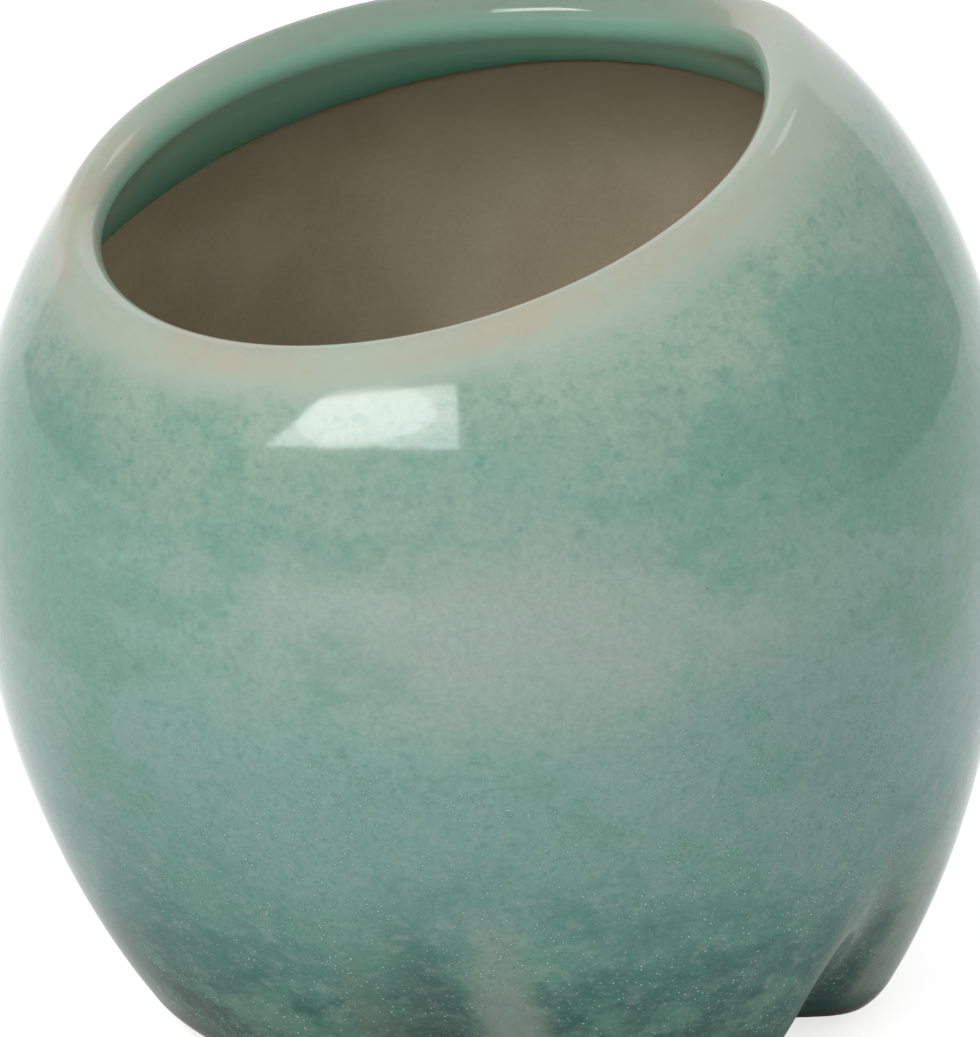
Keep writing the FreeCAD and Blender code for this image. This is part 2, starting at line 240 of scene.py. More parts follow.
def clayRows(form):
    top, centre, _ = tangentCorner(form, form["footLevel"], form["footRound"], 0)
    hollow = form["footLevel"] + form["footRecess"]
    landLevel = hollow + form["floorThickness"]
    floorLevel = landLevel + form["floorFall"]
    floorTop, floorCentre, floorStart = tangentCorner(form, floorLevel, form["floorRound"], form["wall"])
    land, wide = form["drainLand"], form["drainRadius"]
    narrow, edge = wide - form["drainTaper"], form["drainEdge"]
    footInside = centre - form["footWidth"]
    fall, power = form["hollowFall"]
    drawIn, drawMore = form["flatDraw"]
    low = form["lowShare"]
    rows = [levelRow(form, narrow, hollow + edge), levelRow(form, narrow + edge * 0.3, hollow + edge * 0.3),
            levelRow(form, narrow + edge, hollow), levelRow(form, (narrow + land) / 2, hollow)]
    for k in range(15):  # the hollow under the floor
        way = k / 14
        rows.append(levelRow(form, land + (footInside - land) * way,
                             form["footLevel"] + form["footRecess"] * (1 - fall * way ** power),
                             lift=form["channelRise"] * way ** 4, draw=form["grooveDepth"] * drawIn * way ** 4))
    for k in range(1, 9):  # the flats under the lobes
        way = k / 9
        rows.append(levelRow(form, footInside + form["footWidth"] * way, form["footLevel"] - form["footGrind"],
                             lift=form["channelRise"], draw=form["grooveDepth"] * (drawIn + drawMore * way)))
    rows += [footEdgeRow(form, 1 - k / 12, 0) for k in range(12)]
    rows += [wallRow(form, k / 56, 0) for k in range(56)]
    rows += [lipRow(k / 18, 0) for k in range(19)]
    rows += [insideRow(form, 1 - k * (1 - low) / 44, 0, 0) for k in range(1, 44)]
    for k in range(13):  # from there down to the floor's rounding
        way = k / 12
        rows.append(insideRow(form, low * (1 - way), 0, 0, stand=(floorTop - top) * way))
    for k in range(1, 13):
        way = k / 12
        turn = floorStart + (math.pi / 2 - floorStart) * way
        rows.append({"levelled": 1, "reach": floorCentre + form["floorRound"] * math.cos(turn),
                     "level": floorLevel + form["floorRound"] * (1 - math.sin(turn)),
                     "draw": grooveDraw(form, floorTop) * form["insideGroove"] * (1 - way),
                     "middle": swayAt(form, floorTop * (1 - way))})
    for k in range(1, 7):
        way = k / 6
        rows.append(levelRow(form, floorCentre + (land - floorCentre) * way, floorLevel - form["floorFall"] * way))
    rows += [levelRow(form, (wide + land) / 2, landLevel), levelRow(form, wide + edge, landLevel),
             levelRow(form, wide + edge * 0.3, landLevel - edge * 0.3), levelRow(form, wide, landLevel - edge),
             levelRow(form, (wide + narrow) / 2, (landLevel + hollow) / 2)]
    return rows + rows[:1]


def glazeRows(form):
    start = tangentCorner(form, form["footLevel"], form["footRound"], 0)[2]
    coat, band, end = form["glazeCoat"], form["glazeBand"], form["glazeFootShare"]
    roll = form["glazeRoll"] / (form["footRound"] * (math.pi / 2 - start))
    rows = [footEdgeRow(form, end - roll * k / 5, coat * math.sqrt(1 - (1 - k / 5) ** 2)) for k in range(6)]
    rows += [footEdgeRow(form, (end - roll) * (1 - k / 9), coat, soft=k / 9) for k in range(1, 9)]
    rows += [wallRow(form, k / 96, coat, soft=1) for k in range(96)]
    rows += [lipRow(k / 26, coat, soft=1) for k in range(27)]
    for k in range(1, 21):
        way = k / 20
        rows.append(insideRow(form, 1, (band - form["glazeRoll"]) * way, coat, soft=1 - way,
                              overLip=1 - smooth(0, 0.5, way), inBand=0.25 + 0.7 * way))
    for k in range(1, 6):
        way = k / 5
        rows.append(insideRow(form, 1, band - form["glazeRoll"] * (1 - way), coat * math.sqrt(1 - way ** 2),
                              inBand=0.95 + 0.05 * way))
    rows += [insideRow(form, 1, band * (1 - k / 4), 0, inBand=1 - 0.7 * k / 4) for k in range(1, 4)]
    rows += [lipRow(1 - k / 10, 0) for k in range(11)]
    rows += [wallRow(form, 1 - k / 24, 0) for k in range(1, 25)]
    rows += [footEdgeRow(form, end * k / 4, 0) for k in range(1, 4)]
    return rows + rows[:1]


# the profile as a chain of points, its rows kept as attributes for the nodes to read
def profileMesh(name, rows):
    mesh = bpy.data.meshes.new(name)
    mesh.from_pydata([(0, k * 0.001, 0) for k in range(len(rows))], [(k, k + 1) for k in range(len(rows) - 1)], [])
    for rowName in rowNames:
        attribute = mesh.attributes.new(rowName, "FLOAT", "POINT")
        attribute.data.foreach_set("value", [float(row.get(rowName, 0)) for row in rows])
    return mesh


# Geometry Nodes sweep a profile round the pot by the form's rule: egg, slanted mouth, grooves, sway
def buildPotTree(form):
    tree = bpy.data.node_groups.new("potForm", "GeometryNodeTree")
    add = partial(addNode, tree)
    crown, keel = reaches(form)
    corner = tangentCorner(form, form["footLevel"], form["footRound"], 0)[0]
    values = {
        "Belly Radius": form["bellyRadius"], "Belly Height": form["bellyHeight"], "Belly Sway": form["bellySway"],
        "Crown Reach": crown, "Keel Reach": keel, "Mouth Height": form["mouthHeight"],
        "Mouth Slope": math.tan(math.radians(form["mouthTilt"])), "Rim Wave": form["rimWave"],
        "Rim Turn": math.radians(form["rimTurn"]), "Wall": form["wall"],
        "Lip Swell": form["lipSwell"], "Swell Share": form["swellShare"], "Edge Top": corner,
        "Groove Depth": form["grooveDepth"], "Groove Top": form["grooveTop"],
        "Groove Spread": math.radians(form["grooveSpread"]), "Groove Fade": form["grooveFade"],
        "Ground Level": form["footLevel"], "Waviness": 0.0, "Wave Size": 0.03, "Line Wander": 0.0,
        "Line Turn": math.radians(form["lineTurn"]), "Line Tilt": 0.0, "Line Wave": 0.0,
    }
    for number, turn in enumerate(form["grooveTurns"], start=1):
        values[f"Groove {number} Turn"] = math.radians(turn)
    tree.interface.new_socket("Geometry", in_out="INPUT", socket_type="NodeSocketGeometry")
    tree.interface.new_socket("Turns", in_out="INPUT", socket_type="NodeSocketInt").default_value = 240
    for name, value in values.items():
        tree.interface.new_socket(name, in_out="INPUT", socket_type="NodeSocketFloat").default_value = value
    tree.interface.new_socket("Glaze or Clay", in_out="INPUT", socket_type="NodeSocketMaterial")
    tree.interface.new_socket("Geometry", in_out="OUTPUT", socket_type="NodeSocketGeometry")
    given = tree.nodes.new("NodeGroupInput").outputs

    # a grid of turns by profile points, whose two ends meet and are merged at the close
    pointCount = add("GeometryNodeAttributeDomainSize", {0: given["Geometry"]}, component="MESH")
    columns = add(calc, {0: given["Turns"], 1: 1}, operation="ADD")
    grid = add("GeometryNodeMeshGrid", {"Vertices X": columns, "Vertices Y": pointCount})
    index = add("GeometryNodeInputIndex")
    column = add(calc, {0: add(calc, {0: index, 1: pointCount}, operation="DIVIDE")}, operation="FLOOR")
    rowIndex = add(calc, {0: index, 1: pointCount}, operation="MODULO")
    angle = add(calc, {0: add(calc, {0: column, 1: given["Turns"]}, operation="DIVIDE"), 1: math.tau},
                operation="MULTIPLY")
    cosine = add(calc, {0: angle}, operation="COSINE")
    sine = add(calc, {0: angle}, operation="SINE")
    row = {}
    for name in rowNames:
        named = add("GeometryNodeInputNamedAttribute", {"Name": name}, data_type="FLOAT")
        row[name] = add("GeometryNodeSampleIndex", {"Geometry": given["Geometry"], "Value": named, "Index": rowIndex},
                            data_type="FLOAT", domain="POINT")

    # height at which the slanted mouth cuts the egg, at this angle
    slope = add(calc, {0: given["Mouth Slope"], 1: sine}, operation="MULTIPLY")
    rise = add(calc, {0: given["Mouth Height"], 1: given["Belly Height"]}, operation="SUBTRACT")
    crownSquare = add(calc, {0: given["Crown Reach"], 1: given["Crown Reach"]}, operation="MULTIPLY")
    bellySquare = add(calc, {0: given["Belly Radius"], 1: given["Belly Radius"]}, operation="MULTIPLY")
    slopeSquare = add(calc, {0: slope, 1: slope}, operation="MULTIPLY")
    square = add(calc, {0: add(calc, {0: 1, 1: bellySquare}, operation="DIVIDE"),
                        1: add(calc, {0: slopeSquare, 1: crownSquare}, operation="DIVIDE")}, operation="ADD")
    halfLinear = add(calc, {0: add(calc, {0: slope, 1: rise}, operation="MULTIPLY"), 1: crownSquare},
                     operation="DIVIDE")
    riseShare = add(calc, {0: rise, 1: given["Crown Reach"]}, operation="DIVIDE")
    constant = add(calc, {0: 1, 1: add(calc, {0: riseShare, 1: riseShare}, operation="MULTIPLY")},
                   operation="SUBTRACT")
    under = add(calc, {0: square, 1: constant,
                       2: add(calc, {0: halfLinear, 1: halfLinear}, operation="MULTIPLY")}, operation="MULTIPLY_ADD")
    root = add(calc, {0: add(calc, {0: under}, operation="SQRT"), 1: halfLinear}, operation="SUBTRACT")
    rimRadius = add(calc, {0: root, 1: square}, operation="DIVIDE")
    rim = add(calc, {0: slope, 1: rimRadius, 2: given["Mouth Height"]}, operation="MULTIPLY_ADD")
    waveTurn = add(calc, {0: add(calc, {0: angle, 1: given["Rim Turn"]}, operation="SUBTRACT"), 1: 2.0},
                   operation="MULTIPLY")
    rim = add(calc, {0: add(calc, {0: waveTurn}, operation="COSINE"), 1: given["Rim Wave"], 2: rim},
              operation="MULTIPLY_ADD")

    # height on the wall; the glaze's end inside wanders a little, as a dipped edge does
    wanderNoise = add(noiseMap, {"Vector": add("ShaderNodeCombineXYZ", {0: cosine, 1: sine}), "Scale": 5.0,
                                 "Detail": 3.0}, noise_dimensions="3D")
    wander = add(calc, {0: add(calc, {0: wanderNoise, 1: 0.5}, operation="SUBTRACT"), 1: given["Line Wander"]},
                 operation="MULTIPLY")
    fromTurn = add(calc, {0: angle, 1: given["Line Turn"]}, operation="SUBTRACT")
    twice = add(calc, {0: fromTurn, 1: 2.0}, operation="MULTIPLY")
    tilt = add(calc, {0: add(calc, {0: fromTurn}, operation="COSINE"), 1: given["Line Tilt"]}, operation="MULTIPLY")
    wave = add(calc, {0: add(calc, {0: twice}, operation="COSINE"), 1: given["Line Wave"], 2: tilt},
               operation="MULTIPLY_ADD")
    wander = add(calc, {0: wander, 1: wave}, operation="SUBTRACT")
    inside = add(remap, {"Value": row["inBand"], "From Min": 0.25, "From Max": 1.0})
    below = add(calc, {0: wander, 1: inside, 2: row["below"]}, operation="MULTIPLY_ADD")
    wallRise = add(calc, {0: rim, 1: given["Edge Top"]}, operation="SUBTRACT")
    climb = add(calc, {0: add(calc, {0: wallRise, 1: below}, operation="SUBTRACT"), 1: row["share"],
                       2: row["stand"]}, operation="MULTIPLY_ADD")
    height = add(calc, {0: climb, 1: given["Edge Top"]}, operation="ADD")
    upShare = add(calc, {0: climb, 1: wallRise}, operation="DIVIDE")

    # the egg's radius there, and its outward normal
    fromBelly = add(calc, {0: height, 1: given["Belly Height"]}, operation="SUBTRACT")
    isCrown = add(calc, {0: fromBelly, 1: 0}, operation="GREATER_THAN")
    reach = add(mix, {"Factor": isCrown, 2: given["Keel Reach"], 3: given["Crown Reach"]}, data_type="FLOAT")
    way = add(calc, {0: fromBelly, 1: reach}, operation="DIVIDE")
    circle = add(calc, {0: add(calc, {0: 1, 1: add(calc, {0: way, 1: way}, operation="MULTIPLY")},
                               operation="SUBTRACT")}, operation="SQRT")
    radius = add(calc, {0: given["Belly Radius"], 1: circle}, operation="MULTIPLY")
    lean = add(calc, {0: add(calc, {0: given["Belly Radius"], 1: way}, operation="MULTIPLY"),
                                 1: add(calc, {0: reach, 1: circle}, operation="MULTIPLY")}, operation="DIVIDE")
    leanLength = add(calc, {0: add(calc, {0: lean, 1: lean, 2: 1}, operation="MULTIPLY_ADD")}, operation="SQRT")
    outward = add(calc, {0: 1, 1: leanLength}, operation="DIVIDE")
    upward = add(calc, {0: lean, 1: leanLength}, operation="DIVIDE")

    # thickness of the clay, more towards the high side of the lip
    swollen = add(remap, {"Value": upShare, "From Min": given["Swell Share"], "From Max": 1.0})
    highSide = add(calc, {0: sine, 1: 0.5, 2: 0.5}, operation="MULTIPLY_ADD")
    swell = add(calc, {0: add(calc, {0: swollen, 1: highSide}, operation="MULTIPLY"), 1: given["Lip Swell"]},
                operation="MULTIPLY")
    thick = add(calc, {0: swell, 1: given["Wall"]}, operation="ADD")
    across = add(calc, {0: thick, 1: row["acrossShare"], 2: row["acrossCoat"]}, operation="MULTIPLY_ADD")
    along = add(calc, {0: thick, 1: row["alongShare"], 2: row["alongCoat"]}, operation="MULTIPLY_ADD")

    # grooves: a bell at each turn, and three more beside it for where the glaze pools (with painted shade), thins
    # (with a painted sheen) and stains
    heightShare = add(calc, {0: height, 1: given["Groove Top"]}, operation="DIVIDE")
    left = add(calc, {0: add(calc, {0: 1, 1: heightShare}, operation="SUBTRACT"), 1: 0}, operation="MAXIMUM")
    slant = add(calc, {0: left, 1: form["grooveSlant"]}, operation="MULTIPLY")
    groove = 0.0
    # each has its middle and half width, in groove widths
    beside = {"pool": (-0.1, 0.6), "thin": (0.95, 0.55), "stain": (-1.15, 0.5)}
    marks = dict.fromkeys(beside, 0.0)
    for number in range(1, len(form["grooveTurns"]) + 1):
        away = add(calc, {0: angle, 1: given[f"Groove {number} Turn"]}, operation="SUBTRACT")
        away = add(calc, {0: away, 1: math.pi, 2: -math.pi}, operation="WRAP")
        narrow = add(calc, {0: away, 1: given["Groove Spread"]}, operation="DIVIDE")
        squared = add(calc, {0: narrow, 1: narrow}, operation="MULTIPLY")
        bell = add(calc, {0: add(calc, {0: squared, 1: -1.0}, operation="MULTIPLY")}, operation="EXPONENT")
        groove = add(calc, {0: bell, 1: groove}, operation="ADD")
        drifted = add(calc, {0: narrow, 1: slant}, operation="SUBTRACT")
        for name, (centre, width) in beside.items():
            off = add(calc, {0: add(calc, {0: drifted, 1: centre}, operation="SUBTRACT"), 1: width},
                      operation="DIVIDE")
            fall = add(calc, {0: add(calc, {0: off, 1: off}, operation="MULTIPLY"), 1: -1.0}, operation="MULTIPLY")
            marks[name] = add(calc, {0: add(calc, {0: fall}, operation="EXPONENT"), 1: marks[name]}, operation="ADD")
    fade = add(calc, {0: left, 1: given["Groove Fade"]}, operation="POWER")
    drawn = add(calc, {0: add(calc, {0: fade, 1: given["Groove Depth"]}, operation="MULTIPLY"),
                       1: row["grooveShare"]}, operation="MULTIPLY")

    # a wall row and a level row, and the one that this point is
    wallReach = add(calc, {0: across, 1: outward, 2: radius}, operation="MULTIPLY_ADD")
    wallReach = add(calc, {0: wallReach, 1: add(calc, {0: along, 1: upward}, operation="MULTIPLY")},
                    operation="SUBTRACT")
    wallReach = add(calc, {0: wallReach, 1: add(calc, {0: drawn, 1: groove}, operation="MULTIPLY")},
                    operation="SUBTRACT")
    wallHeight = add(calc, {0: across, 1: upward, 2: height}, operation="MULTIPLY_ADD")
    wallHeight = add(calc, {0: along, 1: outward, 2: wallHeight}, operation="MULTIPLY_ADD")
    swayShare = add(calc, {0: fromBelly, 1: given["Belly Height"]}, operation="DIVIDE")
    sway = add(calc, {0: add(calc, {0: swayShare, 1: swayShare}, operation="MULTIPLY"), 1: given["Belly Sway"]},
               operation="MULTIPLY")
    levelReach = add(calc, {0: row["reach"], 1: add(calc, {0: row["draw"], 1: groove}, operation="MULTIPLY")},
                     operation="SUBTRACT")
    outTo = add(mix, {"Factor": row["levelled"], 2: wallReach, 3: levelReach}, data_type="FLOAT")
    upTo = add(mix, {"Factor": row["levelled"], 2: wallHeight, 3: row["level"]}, data_type="FLOAT")
    upTo = add(calc, {0: row["lift"], 1: groove, 2: upTo}, operation="MULTIPLY_ADD")
    upTo = add(calc, {0: upTo, 1: given["Ground Level"]}, operation="MAXIMUM")  # the foot is ground flat
    backTo = add(mix, {"Factor": row["levelled"], 2: sway, 3: row["middle"]}, data_type="FLOAT")

    # hand-formed waviness, only ever inwards, on what is soft
    flatPlace = add("ShaderNodeCombineXYZ",
                    {0: add(calc, {0: outTo, 1: cosine}, operation="MULTIPLY"),
                     1: add(calc, {0: outTo, 1: sine, 2: backTo}, operation="MULTIPLY_ADD"), 2: upTo})
    waves = add(noiseMap, {"Vector": flatPlace, "Scale": add(calc, {0: 1, 1: given["Wave Size"]}, operation="DIVIDE"),
                                                 "Detail": 2.0, "Roughness": 0.4}, noise_dimensions="3D")
    sink = add(calc, {0: add(calc, {0: waves, 1: given["Waviness"]}, operation="MULTIPLY"), 1: row["soft"]},
               operation="MULTIPLY")
    normal = add("ShaderNodeCombineXYZ",
                 {0: add(calc, {0: outward, 1: cosine}, operation="MULTIPLY"),
                  1: add(calc, {0: outward, 1: sine}, operation="MULTIPLY"), 2: upward})
    sinkBy = add(vectorMath, {0: normal, "Scale": sink}, operation="SCALE")
    place = add(vectorMath, {0: flatPlace, 1: sinkBy}, operation="SUBTRACT")

    # what the glaze and clay need to know of the form, kept as attributes
    kept = {"up": upShare, "overLip": row["overLip"], "inBand": row["inBand"]}
    for name, mark in marks.items():
        kept[name] = add(calc, {0: mark, 1: left}, operation="MULTIPLY")
    swept = grid
    for name, value in kept.items():
        swept = add("GeometryNodeStoreNamedAttribute", {"Geometry": swept, "Name": name, "Value": value},
                    data_type="FLOAT", domain="POINT")
    swept = add("GeometryNodeSetPosition", {"Geometry": swept, "Position": place})
    swept = add("GeometryNodeMergeByDistance", {"Geometry": swept, "Distance": 0.000002})
    swept = add("GeometryNodeSetShadeSmooth", {"Geometry": swept})
    swept = add("GeometryNodeSetMaterial", {"Geometry": swept, "Material": given["Glaze or Clay"]})
    add("NodeGroupOutput", {"Geometry": swept})
    return tree


potTree = buildPotTree(potForm)


# sweeps a profile and keeps the result as a plain mesh
def sweepPiece(name, rows, settings):
    profile = addObject(name + "Profile", profileMesh(name + "Profile", rows))
    modifier = profile.modifiers.new("form", "NODES")
    modifier.node_group = potTree
    for item in potTree.interface.items_tree:
        if item.in_out == "INPUT" and item.name in settings:
            modifier[item.identifier] = settings[item.name]
    graph = bpy.context.evaluated_depsgraph_get()
    mesh = bpy.data.meshes.new_from_object(profile.evaluated_get(graph), preserve_all_data_layers=True,
                                           depsgraph=graph)
    profile.modifiers.remove(modifier)
    bpy.data.objects.remove(profile)
    mesh.name = name
    return addObject(name, mesh)


# a material with the look's roughness and index of refraction, its tree and its shader's sockets
def newMaterial(name, look):
    material = bpy.data.materials.new(name)
    material.use_nodes = True
    tree = material.node_tree
    shader = tree.nodes["Principled BSDF"].inputs
    shader["Roughness"].default_value = look["roughness"]
    shader["IOR"].default_value = look["ior"]
    return material, tree, shader


# celadon glaze, dipped and fired glossy: milky grey-green glass that breaks to beige where it runs
# thin over the lip and the ridges, pools dark teal in the grooves and inside, with fine bubbles low down;
# painted sheen on the ridges, painted shade in the grooves, towards the foot, on the lip's back half and round each
# bubble
glazeLook = {
    "roughness": 0.07,
    "ior": 1.5,
    "clouds": 0.032,     # metres: drifts of thicker and thinner glaze
    "patches": 0.012,    # mottles inside a drift
    "curd": 0.0024,      # curdled spots
    "streaks": 0.0030,   # short streaks low down, a little wider than high
    "grain": 0.0009,     # finest mottling
    "bubbleCell": 0.0008,
    "bubble": 0.00021,   # radius of a bubble
    "speckCell": 0.011,
    "speck": 0.00022,
    "thinAt": (0.0548, -0.0503, 0.080),   # middle of the broad thin patch on the front
    "thinReach": 0.043,
    "thinSquash": (1, 1, 2.6),     # it is wider than high
    "beltAt": 0.72,      # share of the wall at which the teal belt lies
    "front": (0.737, -0.676, 0),   # way out to that patch, and to the side where less glaze ran down
    "lessRun": (0.676, 0.737, 0),
    "peel": 0.006,       # slow unevenness of the fired surface
    "peelDepth": 0.00012,
    # marks beside a groove and tints at the foot: where each starts and is full, and how strong
    "besideGroove": {"stain": (0.25, 0.75, 0.5), "thin": (0.06, 0.50, 0.72), "pool": (0.06, 0.72, 0.82)},
    "atFoot": {"pool": (0.0085, 0.0045, 0.8), "footEnd": (0.0050, 0.0036, 0.9)},   # metres up
    "bubbleRings": {"bubbleShadeRim": (2.1, 1.2, 0.5), "bubbleTone": (1.0, 0.4, 0.9)},   # in radii
    # the lowest stops are darker with painted shade as well as pooled glaze
    "heights": ((0.0, "#1F443B"), (0.05, "#1F4A41"), (0.13, "#38695F"), (0.22, "#5B8A81"), (0.32, "#739993"),
                (0.45, "#7C9F97"), (0.58, "#80A298"), (0.72, "#7EA092"), (0.86, "#86A393"), (1.0, "#97AC9C")),
    "teal": "#669684",
    "pale": "#9EA99E",
    "spots": "#578B7B",
    "streakTone": "#8BA197",
    # dark pooled glaze, with painted shade in the grooves and towards the foot
    "pool": "#274F47",
    # pale thin glaze, with a painted sheen on the ridges
    "thin": "#8F9C8F",
    "stain": "#6B7564",
    "bubbleTone": "#C2DAD4",
    # painted shade round each bubble
    "bubbleShadeRim": "#3F6E66",
    "lip": "#A8B3A4",
    "lipThin": "#AFAA97",
    # painted shade on the back half of the lip
    "lipBackShade": "#7B9081",
    "band": ((0.0, "#93AE9B"), (0.25, "#8CC4AD"), (0.5, "#82C6AE"), (0.8, "#5BA590"),
             (0.94, "#438873"), (0.975, "#5E5933"), (1.0, "#6A4A28")),
    "speckTone": "#3B3D33",
    "footEnd": "#3A2E1F",
}


def celadonGlaze(look):
    material, tree, shader = newMaterial("celadonGlazeDipped", look)
    add = partial(addNode, tree)
    place = add("ShaderNodeTexCoord", out="Object")
    runs, other, level = (
        add("ShaderNodeMapping", {"Vector": place, "Location": shift, "Scale": (1, 1, squash)})
        for shift, squash in (((0.31, 0.12, 0.05), 1.8), ((1.7, 0.4, 0.9), 1.4), ((0.6, 1.3, 0.2), 1.5)))
    mark = {name: add("ShaderNodeAttribute", attribute_name=name, out="Fac")
            for name in ("up", "overLip", "inBand", "pool", "thin", "stain")}
    clouds, drifts, patches, curd, streaks, grain = (
        add(noiseMap, {"Vector": where, "Scale": 1 / look[size], "Detail": detail, "Roughness": rough})
        for where, size, detail, rough in (
            (runs, "clouds", 4.0, 0.55), (other, "clouds", 6.0, 0.62), (runs, "patches", 7.0, 0.68),
            (other, "curd", 5.0, 0.68), (level, "streaks", 6.0, 0.66), (place, "grain", 3.0, 0.7)))
    patchOff = add(calc, {0: patches, 1: 0.5}, operation="SUBTRACT")
    cloudOff = add(calc, {0: clouds, 1: 0.5}, operation="SUBTRACT")

    # colour by height, its edges broken up by the clouds; its dark low end is glaze pooling towards the foot and
    # painted shade
    unevenness = add(calc, {0: patchOff, 1: 0.85, 2: cloudOff}, operation="MULTIPLY_ADD")
    sway = add(remap, {"Value": mark["up"], "From Min": 0.0, "From Max": 0.3, "To Min": 0.06, "To Max": 0.36})
    tone = add(calc, {0: unevenness, 1: sway, 2: mark["up"]}, operation="MULTIPLY_ADD")
    # the glaze ran less to the foot on one side, so it stays lighter there
    lessRun = add(vectorMath, {0: place, 1: look["lessRun"]}, **dot)
    lessRun = add(remap, {"Value": lessRun, "From Min": 0.0, "From Max": 0.04, "To Max": 0.022})
    nearFoot = add(remap, {"Value": mark["up"], "From Min": 0.08, "From Max": 0.25, "To Min": 1.0, "To Max": 0.0})
    tone = add(calc, {0: lessRun, 1: nearFoot, 2: tone}, operation="MULTIPLY_ADD")
    heights = add("ShaderNodeValToRGB", {"Fac": tone})
    bandTone = add("ShaderNodeValToRGB", {"Fac": mark["inBand"]})
    for ramp, stops in ((heights.node.color_ramp, look["heights"]), (bandTone.node.color_ramp, look["band"])):
        while len(ramp.elements) < len(stops):
            ramp.elements.new(0.5)
        for element, (spot, tint) in zip(ramp.elements, stops):
            element.position = spot
            element.color = linear(tint)
    colour = heights

    # teal and pale drifts, and the broad thin patch
    mottle = add(calc, {0: patches, 1: 0.5, 2: drifts}, operation="MULTIPLY_ADD")
    front = add(vectorMath, {0: place, 1: look["front"]}, **dot)
    aside = add(remap, {"Value": front, "From Min": 0.066, "From Max": 0.044, "To Max": 0.12}, **eased)
    fromBelt = add(calc, {0: mark["up"], 1: look["beltAt"]}, operation="SUBTRACT")
    fromBelt = add(calc, {0: fromBelt}, operation="ABSOLUTE")
    belt = add(remap, {"Value": fromBelt, "From Min": 0.24, "From Max": 0.08}, **eased)
    thickly = add(calc, {0: aside, 1: belt, 2: mottle}, operation="MULTIPLY_ADD")
    tealMask = add(remap, {"Value": thickly, "From Min": 0.74, "From Max": 0.88, "To Max": 0.6}, **eased)
    colour = add(mix, {"Factor": tealMask, 6: colour, 7: linear(look["teal"])}, **rgba)
    apart = add(vectorMath, {0: place, 1: look["thinAt"]}, operation="SUBTRACT")
    apart = add(vectorMath, {0: apart, 1: look["thinSquash"]}, operation="MULTIPLY")
    apart = add(vectorMath, {0: apart}, out="Value", operation="LENGTH")
    apart = add(calc, {0: apart, 1: 1 / look["thinReach"]}, operation="MULTIPLY")
    apart = add(calc, {0: mottle, 1: 1.5, 2: apart}, operation="MULTIPLY_ADD")
    paleMask = add(remap, {"Value": apart, "From Min": 2.35, "From Max": 1.45, "To Max": 0.62}, **eased)
    colour = add(mix, {"Factor": paleMask, 6: colour, 7: linear(look["pale"])}, **rgba)

    # beside a groove: brownish on one side, thin and pale with a painted sheen on the other, a dark pool with painted
    # shade between
    for name, (low, high, most) in look["besideGroove"].items():
        broken = add(calc, {0: patchOff, 1: 0.5, 2: mark[name]}, operation="MULTIPLY_ADD")
        mask = add(remap, {"Value": broken, "From Min": low, "From Max": high, "To Max": most}, **eased)
        mask = add(calc, {0: mask, 1: add(calc, {0: mark[name], 1: 0.02}, operation="GREATER_THAN")},
                   operation="MULTIPLY")
        colour = add(mix, {"Factor": mask, 6: colour, 7: linear(look[name])}, **rgba)

    # curdled spots, short streaks low down, grain
    spotMask = add(remap, {"Value": curd, "From Min": 0.46, "From Max": 0.76, "To Max": 0.54}, **eased)
    offPale = add(remap, {"Value": paleMask, "From Min": 0.0, "From Max": 0.5, "To Min": 1.0, "To Max": 0.3})
    spotMask = add(calc, {0: spotMask, 1: offPale}, operation="MULTIPLY")
    colour = add(mix, {"Factor": spotMask, 6: colour, 7: linear(look["spots"])}, **rgba)
    lowDown = add(remap, {"Value": tone, "From Min": 0.72, "From Max": 0.25}, **eased)
    streakMask = add(remap, {"Value": streaks, "From Min": 0.46, "From Max": 0.70, "To Max": 0.6}, **eased)
    streakMask = add(calc, {0: streakMask, 1: lowDown}, operation="MULTIPLY")
    atFoot = add(remap, {"Value": tone, "From Min": 0.02, "From Max": 0.24, "To Min": 0.1})
    streakMask = add(calc, {0: streakMask, 1: atFoot}, operation="MULTIPLY")
    colour = add(mix, {"Factor": streakMask, 6: colour, 7: linear(look["streakTone"])}, **rgba)
    grainTone = add(remap, {"Value": grain, "From Min": 0.25, "From Max": 0.75, "To Min": 0.35, "To Max": 0.65})
    grey = add("ShaderNodeCombineColor", {0: grainTone, 1: grainTone, 2: grainTone})
    colour = add(mix, {"Factor": 0.5, 6: colour, 7: grey}, **rgba, blend_type="SOFT_LIGHT")

    # bubbles in drifts, each light with a dark rim of painted shade, thickest low down; a few dark iron specks
    cells = add("ShaderNodeTexVoronoi", {"Vector": place, "Scale": 1 / look["bubbleCell"], "Randomness": 1.0},
                    out="Distance")
    chance = add("ShaderNodeSeparateColor", {0: cells.node.outputs["Color"]})
    shown = add(remap, {"Value": chance, "From Min": 0.12, "From Max": 0.8})
    drifting = add(remap, {"Value": patches, "From Min": 0.40, "From Max": 0.62, "To Min": 0.25}, **eased)
    shown = add(calc, {0: shown, 1: drifting}, operation="MULTIPLY")
    shown = add(calc, {0: shown, 1: lowDown}, operation="MULTIPLY")
    size = look["bubble"] / look["bubbleCell"]
    for tint, (edge, core, most) in look["bubbleRings"].items():
        mask = add(remap, {"Value": cells, "From Min": edge * size, "From Max": core * size, "To Max": most})
        mask = add(calc, {0: mask, 1: shown}, operation="MULTIPLY")
        colour = add(mix, {"Factor": mask, 6: colour, 7: linear(look[tint])}, **rgba)
    specks = add("ShaderNodeTexVoronoi", {"Vector": other, "Scale": 1 / look["speckCell"], "Randomness": 1.0},
                 out="Distance")
    size = look["speck"] / look["speckCell"]
    speckMask = add(remap, {"Value": specks, "From Min": size, "From Max": 0.5 * size, "To Max": 0.7})
    colour = add(mix, {"Factor": speckMask, 6: colour, 7: linear(look["speckTone"])}, **rgba)
